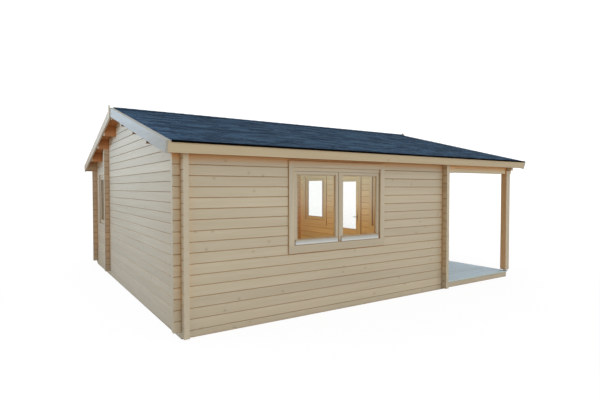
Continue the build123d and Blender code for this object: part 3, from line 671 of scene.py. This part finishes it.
# Meshes made of many small pieces
class Pieces:
    """Gathers faces into one mesh, with a tone and grain coordinates at each point."""

    def __init__(self):
        self.points = []
        self.faces = []
        self.grain = []
        self.tones = []

    def solid(self, points, faces, tone, grain=None):
        start = len(self.points)
        self.points += [tuple(point) for point in points]
        self.faces += [tuple(start + corner for corner in face) for face in faces]
        self.grain += [tuple(place) for place in grain or points]
        self.tones += [tone] * len(points)

    def bar(self, corner, along, across, up, chamfer=BOARD_CHAMFER):
        """Adds a bar with chamfered long edges from a corner and its three edge vectors."""
        wide = across.length
        tall = up.length
        right = across.normalized()
        rise = up.normalized()
        cut = min(chamfer, wide / 3, tall / 3)
        section = [
            (cut, 0), (wide - cut, 0), (wide, cut), (wide, tall - cut),
            (wide - cut, tall), (cut, tall), (0, tall - cut), (0, cut),
        ]
        count = len(section)
        offset = random.uniform(0, GRAIN_OFFSET)
        points = []
        grain = []
        for end in (0, 1):
            for right_way, rise_way in section:
                points.append(corner + along * end + right * right_way + rise * rise_way)
                grain.append((offset + along.length * end, right_way + offset, rise_way))
        faces = []
        for here in range(count):
            after = (here + 1) % count
            faces.append((here, after, after + count, here + count))
        faces.append(tuple(reversed(range(count))))
        faces.append(tuple(range(count, 2 * count)))
        if across.cross(up).dot(along) < 0:
            faces = [tuple(reversed(face)) for face in faces]
        self.solid(points, faces, random.random(), grain)

    def block(self, first, second, along, chamfer=BOARD_CHAMFER):
        """Adds a bar between two opposite corners, running along one axis."""
        low = Vector(min(pair) for pair in zip(first, second))
        high = Vector(max(pair) for pair in zip(first, second))
        size = high - low
        edges = {"X": Vector((size.x, 0, 0)), "Y": Vector((0, size.y, 0)), "Z": Vector((0, 0, size.z))}
        others = [axis for axis in "XYZ" if axis != along]
        self.bar(low, edges[along], edges[others[0]], edges[others[1]], chamfer)

    def stud(self, centre, normal, radius=NAIL_RADIUS, height=NAIL_HEIGHT, sides=HEAD_SIDES):
        """Adds a small rounded head that stands on a face."""
        axis = Vector(normal).normalized()
        right = axis.orthogonal().normalized()
        rise = axis.cross(right)
        points = []
        for reach, lift in HEAD_PROFILE:
            for corner in range(sides):
                turn = 2 * math.pi * corner / sides
                out = right * math.cos(turn) + rise * math.sin(turn)
                points.append(Vector(centre) + out * (radius * reach) + axis * (height * lift))
        faces = []
        for start in (0, sides):
            for corner in range(sides):
                after = (corner + 1) % sides
                faces.append((start + corner, start + after, start + sides + after, start + sides + corner))
        faces.append(tuple(range(2 * sides, 3 * sides)))
        faces.append(tuple(reversed(range(sides))))
        self.solid(points, faces, random.random())

    def place(self, name, material, slot, body="cabin", replaces=()):
        """Makes the object and gives it its body, hiding the nodes that it stands for. The slot is not used.
        """
        mesh = bpy.data.meshes.new(name)
        mesh.from_pydata(self.points, [], self.faces)
        grain = mesh.attributes.new("grain", "FLOAT_VECTOR", "POINT")
        grain.data.foreach_set("vector", [value for place in self.grain for value in place])
        mesh.attributes.new("tone", "FLOAT", "POINT").data.foreach_set("value", self.tones)
        mesh.materials.append(material)
        piece = bpy.data.objects.new(name, mesh)
        bpy.context.scene.collection.objects.link(piece)
        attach(piece, body)
        if replaces:
            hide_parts(*replaces)


def slope_point(x, along, lift, side):
    """Gives a point of a roof slope: up from the boards' lower end, and square to the slope."""
    y = eave_y + along * roof_cos - lift * roof_sin
    return Vector((x, y if side < 0 else -y, eave_z + along * roof_sin + lift * roof_cos))


def even_steps(low, high, spacing):
    """Gives places from one end to the other, about a spacing apart."""
    count = max(1, round((high - low) / spacing))
    return [low + (high - low) * step / count for step in range(count + 1)]


# Shingle tabs on both slopes, each row lapped over the one below
def shingle_slope(side):
    tabs = Pieces()
    rows = math.ceil((slope_length - SHINGLE_START) / SHINGLE_EXPOSURE)
    for row in range(rows):
        start = SHINGLE_START + row * SHINGLE_EXPOSURE
        stop = min(start + SHINGLE_EXPOSURE + SHINGLE_LAP, slope_length)
        row_tone = random.uniform(-SHINGLE_ROW_TONE, SHINGLE_ROW_TONE)
        x = shingle_low_x - SHINGLE_TAB * random.choice(SHINGLE_ROW_STARTS)
        while x < shingle_high_x:
            near = max(x, shingle_low_x)
            far = min(x + SHINGLE_TAB - SHINGLE_SLOT, shingle_high_x)
            x += SHINGLE_TAB
            if far - near < SHINGLE_SLOT:
                continue
            add_tab(tabs, near, far, start, stop, side, random.random() + row_tone)
    return tabs


def add_tab(tabs, near, far, start, stop, side, tone):
    """Adds one tab: thick at its butt and thin where the next row covers it."""
    butt = shingle_top + SHINGLE_BUTT + random.uniform(-SHINGLE_WARP, SHINGLE_WARP)
    thin = shingle_top + SHINGLE_THIN
    seat = shingle_top + SHINGLE_SEAT
    corners = ((start, seat), (start, butt), (stop, thin), (stop, seat))
    points = [slope_point(x, along, lift, side) for x in (near, far) for along, lift in corners]
    faces = [(0, 1, 5, 4), (1, 2, 6, 5), (2, 3, 7, 6), (3, 0, 4, 7), (0, 3, 2, 1), (4, 5, 6, 7)]
    if side < 0:
        faces = [tuple(reversed(face)) for face in faces]
    tabs.solid(points, faces, tone)


def ridge_caps():
    """Folds a row of caps over the ridge, each lapped over the next."""
    caps = Pieces()
    count = math.ceil((shingle_high_x - shingle_low_x) / RIDGE_CAP_EXPOSURE)
    base = shingle_top + RIDGE_CAP_SEAT
    for cap in range(count):
        near = shingle_low_x + cap * RIDGE_CAP_EXPOSURE
        far = min(near + RIDGE_CAP_EXPOSURE + RIDGE_CAP_LAP, shingle_high_x)
        section = []
        for end, lift in ((near, base), (far, base + RIDGE_CAP_RISE)):
            for height in (lift, lift + RIDGE_CAP_THICKNESS):
                low = slope_length - RIDGE_CAP_REACH
                crest = slope_length + height * roof_sin / roof_cos
                section.append(slope_point(end, low, height, -1))
                section.append(slope_point(end, crest, height, -1))
                section.append(slope_point(end, low, height, 1))
        faces = [
            (0, 1, 7, 6), (1, 2, 8, 7), (3, 9, 10, 4), (4, 10, 11, 5),
            (0, 6, 9, 3), (2, 5, 11, 8), (0, 3, 4, 1), (1, 4, 5, 2), (6, 7, 10, 9), (7, 8, 11, 10),
        ]
        caps.solid(section, faces, random.random())
    return caps


shingle = shingle_finish()
shingle_slope(-1).place("front_shingle_tabs", shingle, "shingle")
shingle_slope(1).place("back_shingle_tabs", shingle, "shingle")
ridge_caps().place("ridge_caps", shingle, "shingle", replaces=("ridge_shingles",))

# Black metal edges in front of the lowest shingles, whose near-black is partly painted shadow: the dark line
# under the shingles' edge
black_metal_and_shadow = metal_finish("drip_edge_metal_and_shadow", BLACK_AND_SHADOW, roughness=0.6, metallic=0.0, gloss=0.02)
for side, name in ((-1, "front_drip_edge"), (1, "back_drip_edge")):
    edge = Pieces()
    run = Vector((shingle_high_x - shingle_low_x, 0, 0))
    foot = slope_point(shingle_low_x, SHINGLE_START - DRIP_SHEET, ROOF_BOARD - DRIP_DROP, side)
    inward = slope_point(shingle_low_x, SHINGLE_START, ROOF_BOARD - DRIP_DROP, side) - foot
    upward = slope_point(shingle_low_x, SHINGLE_START - DRIP_SHEET, shingle_top + DRIP_RISE, side) - foot
    edge.bar(foot, run, inward, upward, DRIP_CHAMFER)
    edge.place(name, black_metal_and_shadow, "drip_metal")

# Roof boards that run down the slope, seen from below, coloured with painted warm shade
roof_wood = board_finish("roof_board_wood", SOFFIT_WOOD_WARM_SHADE, BOARD_KNOTS)
for side, node in ((-1, "front_roof_boards"), (1, "back_roof_boards")):
    boards = Pieces()
    lines = even_steps(roof_low.x, roof_high.x, ROOF_BOARD_WIDTH)
    for near, far in zip(lines, lines[1:]):
        corner = slope_point(near, 0, 0, side)
        up_slope = slope_point(near, slope_length, 0, side) - corner
        upward = slope_point(near, 0, ROOF_BOARD, side) - corner
        boards.bar(corner, up_slope, Vector((far - near - ROOF_BOARD_GAP, 0, 0)), upward, ROOF_BOARD_CHAMFER)
    boards.place(node + "_laid", roof_wood, "roof_wood", replaces=(node,))

# Floor boards of both rooms, along the cabin
floor_wood = board_finish("floor_board_wood", WALL_WOOD, BOARD_KNOTS)
for node in ("main_floor", "small_room_floor"):
    low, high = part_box(node)
    boards = Pieces()
    lines = even_steps(low.y, high.y, FLOOR_BOARD_WIDTH)
    for near, far in zip(lines, lines[1:]):
        boards.block((low.x, near, low.z), (high.x, far - FLOOR_GAP, high.z), "X", FLOOR_CHAMFER)
    boards.place(node + "_boards", floor_wood, "floor_wood", replaces=(node,))

# Deck boards out from the cabin's wall, cut short at the log ends, and their screws over the bearers
deck_wood = board_finish("deck_board_wood", DECK_WOOD, DECK_KNOTS)
steel = metal_finish("brushed_steel", STEEL, roughness=0.32)
deck_low, deck_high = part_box("veranda_deck")
log_end_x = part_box("partition_wall")[1].x + CLEARANCE
rows = [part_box(wall) for wall in ("front_wall", "partition_wall", "back_wall")]
stops = [deck_low.y] + [side for row in rows for side in (row[0].y, row[1].y)][1:-1] + [deck_high.y]
bearer_low, bearer_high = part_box("veranda_bearers")
bearer_places = even_steps(bearer_low.x + BEARER / 2, bearer_high.x - BEARER / 2, NAIL_SPACING)
deck = Pieces()
deck_screws = Pieces()
for strip, (low_y, high_y) in enumerate(zip(stops, stops[1:])):
    near_x = log_end_x if strip % 2 == 0 else deck_low.x
    lines = even_steps(low_y, high_y, DECK_BOARD_WIDTH + DECK_GAP)
    for near, far in zip(lines, lines[1:]):
        deck.block((near_x, near, deck_low.z), (deck_high.x, far - DECK_GAP, deck_high.z), "X")
        for x in bearer_places:
            for y in (near + SCREW_EDGE, far - DECK_GAP - SCREW_EDGE):
                deck_screws.stud((x, y, deck_high.z), (0, 0, 1), SCREW_RADIUS)
deck.place("veranda_deck_boards", deck_wood, "deck_wood", replaces=("veranda_deck",))
deck_screws.place("veranda_deck_screws", steel, "steel")

# Nail heads in the fascias and bargeboards
nails = Pieces()
for side in (-1, 1):
    outward = slope_point(0, -1, 0, side) - slope_point(0, 0, 0, side)
    for x in even_steps(roof_low.x + SCREW_EDGE, roof_high.x - SCREW_EDGE, NAIL_SPACING):
        for share in FASCIA_NAIL_SHARES:
            place = slope_point(x, -FASCIA, ROOF_BOARD - FASCIA_HEIGHT * share, side)
            nails.stud(place, outward)
    for node, way in (("left_bargeboards", -1), ("veranda_bargeboards", 1)):
        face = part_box(node)[0 if way < 0 else 1].x
        for along in even_steps(SCREW_EDGE, slope_length - BARGEBOARD, NAIL_SPACING):
            for share in BARGEBOARD_NAIL_SHARES:
                place = slope_point(face, along, shingle_top - BARGEBOARD * share, side)
                nails.stud(place, (way, 0, 0))
nails.place("roof_trim_nails", steel, "steel")


# CAD pieces that keep their shape and get their finish here
def dress(names, material):
    for name in names:
        nodes[name].data.materials.clear()
        nodes[name].data.materials.append(material)


def soften(names, width=EDGE_ROUNDING):
    """Rounds the sharp edges of CAD pieces."""
    for name in names:
        nodes[name].modifiers.new("weld", "WELD").merge_threshold = WELD_REACH
        bevel = nodes[name].modifiers.new("bevel", "BEVEL")
        bevel.width = width
        bevel.segments = 2
        bevel.limit_method = "ANGLE"
        bevel.angle_limit = ROUNDED_ANGLE


for along, walls in (
    ("X", ("front_wall", "back_wall", "partition_wall")),
    ("Y", ("left_gable_wall", "veranda_wall", "veranda_gable")),
):
    for node in walls:
        dress((node,), log_finish(node, along))

upright_wood = straight_finish("upright_wood", "Z")
# The purlins' orange-brown soffit colour is painted warm shade
dress(("ridge_purlin", "back_purlins"), straight_finish("purlin_wood", "X", SOFFIT_WOOD_WARM_SHADE))
# Painted shade on the front purlins' sides that face the front
dress(("front_purlins",), straight_finish("front_purlin_wood", "X", SOFFIT_WOOD_WARM_SHADE, "Y", PURLIN_SHADE_TINT))
# Painted shade on the fascias' undersides
fascia_wood = straight_finish("fascia_wood", "X", FASCIA_WOOD, "Z", FASCIA_FOOT_SHADE_TINT)
dress(("front_fascia", "back_fascia"), fascia_wood)
dress(("foundation_boards", "veranda_beams"), straight_finish("level_wood", "X"))
# Bargeboards and fillets coloured grey-blue with painted cool light
verge_wood_cool_light = straight_finish("verge_wood_cool_light", "Y", VERGE_WOOD_COOL_LIGHT)
dress(("left_bargeboards", "veranda_bargeboards", "verge_fillets"), verge_wood_cool_light)
dress(("floor_bearers", "veranda_bearers"), straight_finish("cross_wood", "Y"))
# Painted shade on the posts' left sides
dress(("veranda_posts",), straight_finish("post_wood", "Z", TRIM_WOOD, "X", POST_SHADE_TINT))
dress(("finial_boards",), upright_wood)
dress(("front_shingles", "back_shingles"), shingle)
soften(("front_fascia", "back_fascia", "left_bargeboards", "veranda_bargeboards", "finial_boards"))
soften(("ridge_purlin", "front_purlins", "back_purlins", "veranda_posts", "veranda_beams"), HEAVY_ROUNDING)


# Windows
def ring_sides(window, part, axis):
    """Gives the near and far sides of each ring of bars in a row of windows, along the wall."""
    low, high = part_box(window + part)
    near, far = (low.x, high.x) if axis == "X" else (low.y, high.y)
    if window != "veranda_window":
        return [(near, far)]
    single_low, single_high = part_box("gable_window" + part)
    width = single_high.y - single_low.y
    return [(near, near + width), (far - width, far)]


def upright_bands(sides, bar):
    """Gives the strips of the upright bars of some rings, a little wider than the rings."""
    slack = bar / 9
    return [band for near, far in sides for band in ((near - slack, near + bar), (far - bar, far + slack))]


def spans(node, axis):
    """Gives the near and far sides of the panes of one node, along the wall."""
    places = sorted({round(vertex.co["XYZ".index(axis)], 4) for vertex in nodes[node].data.vertices})
    return list(zip(places[0::2], places[1::2]))


def wall_point(axis, across, through, z):
    """Gives a point from its places along a wall and through it."""
    return (across, through, z) if axis == "X" else (through, across, z)


def add_ring(pieces, axis, pane, bar, near, far, chamfer):
    """Adds four bars just inside a rectangle, between two places through the wall."""
    low, high, bottom, top = pane
    for level in (bottom, top - bar):
        first = wall_point(axis, low, near, level)
        pieces.block(first, wall_point(axis, high, far, level + bar), axis, chamfer)
    for side in (low, high - bar):
        first = wall_point(axis, side, near, bottom + bar)
        pieces.block(first, wall_point(axis, side + bar, far, top - bar), "Z", chamfer)


def add_ring_nails(pieces, axis, outer, through, normal):
    """Adds nail heads along the middle of a ring of casing boards."""
    low, high, bottom, top = outer
    sides = (low + CASING / 2, high - CASING / 2)
    for across in even_steps(*sides, NAIL_SPACING):
        for level in (bottom + CASING_FOOT / 2, top - CASING / 2):
            pieces.stud(wall_point(axis, across, through, level), normal)
    lowest = bottom + CASING_FOOT * UPRIGHT_NAIL_START
    highest = top - CASING * UPRIGHT_NAIL_START
    for level in even_steps(lowest, highest, NAIL_SPACING):
        for across in sides:
            pieces.stud(wall_point(axis, across, through, level), normal)


bead_wood = board_finish("bead_wood", TRIM_WOOD, BEAD_KNOTS)
rubber_and_gap_shade = metal_finish("gasket_rubber_and_gap_shade", RUBBER_AND_GAP_SHADE, roughness=0.7, metallic=0.0, gloss=0.2)
for window, axis, outward in (
    ("front_window", "X", -1),
    ("gable_window", "Y", -1),
    ("veranda_window", "Y", 1),
):
    through = 1 if axis == "X" else 0
    casing = window + "_casing"
    casing_low, casing_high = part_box(casing)
    casing_sides = ring_sides(window, "_casing", axis)
    levels = (casing_low.z + CASING_FOOT, casing_high.z - CASING)
    dress((casing,), joined_finish(casing + "_wood", axis, upright_bands(casing_sides, CASING), levels))
    for part, bar, foot, head in (
        ("_frame", FRAME_BAR, FRAME_BAR, FRAME_HEAD),
        ("_sash", SASH, SASH_FOOT, SASH_HEAD),
    ):
        low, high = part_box(window + part)
        bands = upright_bands(ring_sides(window, part, axis), bar)
        if window == "front_window":
            middle = (low.x + high.x) / 2
            bands.append((middle - MULLION - SASH, middle + MULLION + SASH))
        uprights = (low.z + foot, high.z - head)
        dress((window + part,), joined_finish(window + part + "_wood", axis, bands, uprights))
    soften((casing, window + "_frame", window + "_sash"))

    # Glazing beads on both faces of each pane, rubber seals round each sash whose dark colour is also painted
    # shade in the gap at the sash, casing nails
    beads = Pieces()
    seals = Pieces()
    casing_nails = Pieces()
    glass_low, glass_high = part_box(window + "_glass")
    sash_low, sash_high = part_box(window + "_sash")
    faces = ((sash_low, glass_low, 1), (sash_high, glass_high, -1))
    for low, high in spans(window + "_glass", axis):
        bottom = glass_low.z + GLASS_BITE
        top = glass_high.z - GLASS_BITE
        pane = (low + GLASS_BITE, high - GLASS_BITE, bottom, top)
        sash = (pane[0] - SASH, pane[1] + SASH, bottom - SASH_FOOT, top + SASH_HEAD)
        for sash_side, glass_side, inward in faces:
            edge = sash_side[through]
            add_ring(beads, axis, pane, BEAD, edge + inward * BEAD_REVEAL, glass_side[through], BEAD_CHAMFER)
            proud = edge - inward * GASKET_PROUD
            add_ring(seals, axis, sash, GASKET, proud, proud + inward * GASKET_DEPTH, GASKET_PROUD)
    outer_face = (casing_low if outward < 0 else casing_high)[through]
    normal = wall_point(axis, 0, outward, 0)
    for near, far in casing_sides:
        outer = (near, far, casing_low.z, casing_high.z)
        add_ring_nails(casing_nails, axis, outer, outer_face, normal)
    casing_nails.place(casing + "_nails", steel, "steel")
    beads.place(window + "_beads", bead_wood, "joinery_wood")
    seals.place(window + "_seals", rubber_and_gap_shade, "joinery_wood")

glass = glass_finish()
dress(("front_window_glass", "gable_window_glass", "veranda_window_glass", "door_glass"), glass)
dress(("front_window_drip_bars",), drip_bar_finish("front_window_drip_bars"))
soften(("front_window_drip_bars",), HEAVY_ROUNDING)
dress(("post_feet", "jamb_hinges", "leaf_hinges", "door_handle"), steel)

# Door: glazing beads, panel mouldings, and the handle's screws and lock
door_low, door_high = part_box("door_leaf")
door_bands = [(edge - DOOR_STILE, edge + DOOR_STILE) for edge in (door_low.y, door_high.y)]
dress(("door_leaf",), joined_finish("door_wood", "Y", door_bands, (door_low.z, door_high.z)))
dress(("door_frame", "door_casing", "door_stops"), upright_wood)
soften(("door_leaf", "door_frame", "door_casing"))
door_beads = Pieces()
pane_low, pane_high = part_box("door_glass")
pane = (pane_low.y + GLASS_BITE, pane_high.y - GLASS_BITE, pane_low.z + GLASS_BITE, pane_high.z - GLASS_BITE)
panel = (door_low.y + DOOR_STILE, door_high.y - DOOR_STILE, *DOOR_PANEL)
for leaf_side, glass_side, inward in ((door_low.x, pane_low.x, 1), (door_high.x, pane_high.x, -1)):
    add_ring(door_beads, "Y", pane, BEAD, leaf_side + inward * BEAD_REVEAL, glass_side, BEAD_CHAMFER)
    recess = leaf_side + inward * DOOR_PANEL_RECESS
    add_ring(door_beads, "Y", panel, BEAD, leaf_side + inward * PANEL_BEAD_REVEAL, recess, BEAD_CHAMFER)
door_beads.place("door_beads", bead_wood, "joinery_wood", "door")
door_lock = Pieces()
for face, way in ((door_low.x - HANDLE_PLATE, -1), (door_high.x + HANDLE_PLATE, 1)):
    plate = Vector((face, door_low.y + HANDLE_BACKSET, HANDLE_HEIGHT))
    for step in (-HANDLE_SCREW_STEP, HANDLE_SCREW_STEP):
        door_lock.stud(plate + Vector((0, 0, step)), (way, 0, 0), SCREW_RADIUS)
    door_lock.stud(plate - Vector((0, 0, LOCK_STEP)), (way, 0, 0), LOCK_RADIUS, LOCK_HEIGHT, LOCK_SIDES)
door_lock.place("door_lock_and_screws", steel, "steel", "door")

# Post feet: a nut on each stem and screws in the lower plates
fittings = Pieces()
foot_low, foot_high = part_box("post_feet")
foot_plate = foot_high.x - foot_low.x
for y in (foot_low.y + foot_plate / 2, foot_high.y - foot_plate / 2):
    centre = Vector(((foot_low.x + foot_high.x) / 2, y, foot_low.z + FOOT_PLATE))
    fittings.stud(centre, (0, 0, 1), NUT_RADIUS, NUT_HEIGHT, NUT_SIDES)
    for step_x in (-FOOT_SCREW_SHARE, FOOT_SCREW_SHARE):
        for step_y in (-FOOT_SCREW_SHARE, FOOT_SCREW_SHARE):
            place = centre + Vector((step_x, step_y, 0)) * foot_plate
            fittings.stud(place, (0, 0, 1), FOOT_SCREW_RADIUS, FOOT_SCREW_HEIGHT, NUT_SIDES)
fittings.place("post_foot_fittings", steel, "steel")


# Floor and light
def white_stage():
    """A white floor that shows a faint shadow near the cabin and fades into the background."""
    mesh = bpy.data.meshes.new("studio_floor")
    corners = [(x * FLOOR_REACH, y * FLOOR_REACH, 0) for x, y in ((-1, -1), (1, -1), (1, 1), (-1, 1))]
    mesh.from_pydata(corners, [], [(0, 1, 2, 3)])
    floor = bpy.data.objects.new("studio_floor", mesh)
    bpy.context.scene.collection.objects.link(floor)
    floor.location.z = -CLEARANCE
    finish = Finish("studio_floor")
    finish.set("Roughness", 0.9)
    finish.set("Specular IOR Level", 0.0)
    far = finish.add("ShaderNodeVectorMath", {0: finish.place}, operation="LENGTH").outputs["Value"]
    direct, mirrored = seen_rays(finish)
    colour = finish.mix(direct, FLOOR_BOUNCE, FLOOR_SEEN)
    finish.set("Base Color", finish.mix(mirrored, colour, FLOOR_MIRRORED))
    direct_share = finish.times(direct, finish.spread(far, *SHADOW_RANGE, SHADOW_WHITENESS, 1.0))
    mirror_share = finish.times(mirrored, finish.spread(far, *MIRROR_RANGE))
    share = finish.math("MAXIMUM", direct_share, mirror_share)
    strength = finish.spread(far, *FLOOR_WHITE_RANGE, FLOOR_WHITE, WHITE_LEVEL)
    white = finish.add("ShaderNodeEmission", {"Color": WHITE, "Strength": strength}).outputs[0]
    mixed = finish.add("ShaderNodeMixShader", {0: share, 1: finish.shader.outputs[0], 2: white}).outputs[0]
    finish.feed(finish.tree.nodes["Material Output"].inputs["Surface"], mixed)
    mesh.materials.append(finish.material)


def seen_rays(tree):
    """Gives 1 for rays that show a surface directly or through glass, and for those that mirror it."""
    ray = tree.add("ShaderNodeLightPath").outputs
    direct = tree.math("MAXIMUM", ray["Is Camera Ray"], ray["Is Transmission Ray"])
    return direct, ray["Is Glossy Ray"]


def dome_light():
    """A white background, with soft light that comes mostly from the right."""
    world = bpy.data.worlds.new("studio")
    bpy.context.scene.world = world
    world.use_nodes = True
    tree = Tree(world.node_tree)
    ray = tree.add("ShaderNodeTexCoord").outputs["Generated"]
    level_ray = tree.vector("NORMALIZE", tree.vector("MULTIPLY", ray, LEVEL_STRETCH))
    light = tree.mix(tree.lobe(ray, NEAR_LEFT_WAY, NEAR_LEFT_FOCUS), DOME_LIGHT, NEAR_LEFT_LIGHT)
    light = tree.mix(tree.lobe(level_ray, FAR_LEFT_WAY, LOBE_FOCUS), light, FAR_LEFT_LIGHT, "ADD")
    light = tree.mix(tree.lobe(level_ray, RIGHT_WAY, LOBE_FOCUS), light, RIGHT_LIGHT, "ADD")
    seen = tree.math("MAXIMUM", *seen_rays(tree))
    colour = tree.mix(seen, light, (WHITE_LEVEL, WHITE_LEVEL, WHITE_LEVEL, 1))
    tree.feed(world.node_tree.nodes["Background"].inputs["Color"], colour)


def soft_lamp(name, place, size, power, colour, turn):
    """A soft lamp, turned from shining down."""
    data = bpy.data.lights.new(name, "AREA")
    data.shape = "RECTANGLE"
    data.size, data.size_y = size
    data.energy = power
    data.color = colour
    lamp = bpy.data.objects.new(name, data)
    lamp.location = place
    lamp.rotation_euler = turn
    lamp.visible_camera = False
    lamp.visible_glossy = False
    bpy.context.scene.collection.objects.link(lamp)


white_stage()
dome_light()
soft_lamp("main_room_lamp", ROOM_LAMP_PLACE, ROOM_LAMP_SIZE, ROOM_LAMP_POWER, ROOM_LIGHT, ROOM_LAMP_TURN)
for name, place, power, turn in (
    ("gable_top_lamp", GABLE_TOP_PLACE, GABLE_TOP_POWER, GABLE_TOP_TURN),
    ("gable_foot_lamp", GABLE_FOOT_PLACE, GABLE_FOOT_POWER, GABLE_FOOT_TURN),
):
    soft_lamp(name, place, GABLE_LAMP_SIZE, power, GABLE_LIGHT, turn)

# Camera
camera_data = bpy.data.cameras.new("camera")
camera_data.lens = CAMERA_LENS
camera_data.sensor_width = CAMERA_SENSOR
camera = bpy.data.objects.new("camera", camera_data)
camera.location = CAMERA_PLACE
camera.rotation_euler = CAMERA_TURN
bpy.context.scene.collection.objects.link(camera)
bpy.context.scene.camera = camera
bpy.context.scene.view_settings.view_transform = "Standard"

# Bring the scene up to date
bpy.context.view_layer.update()
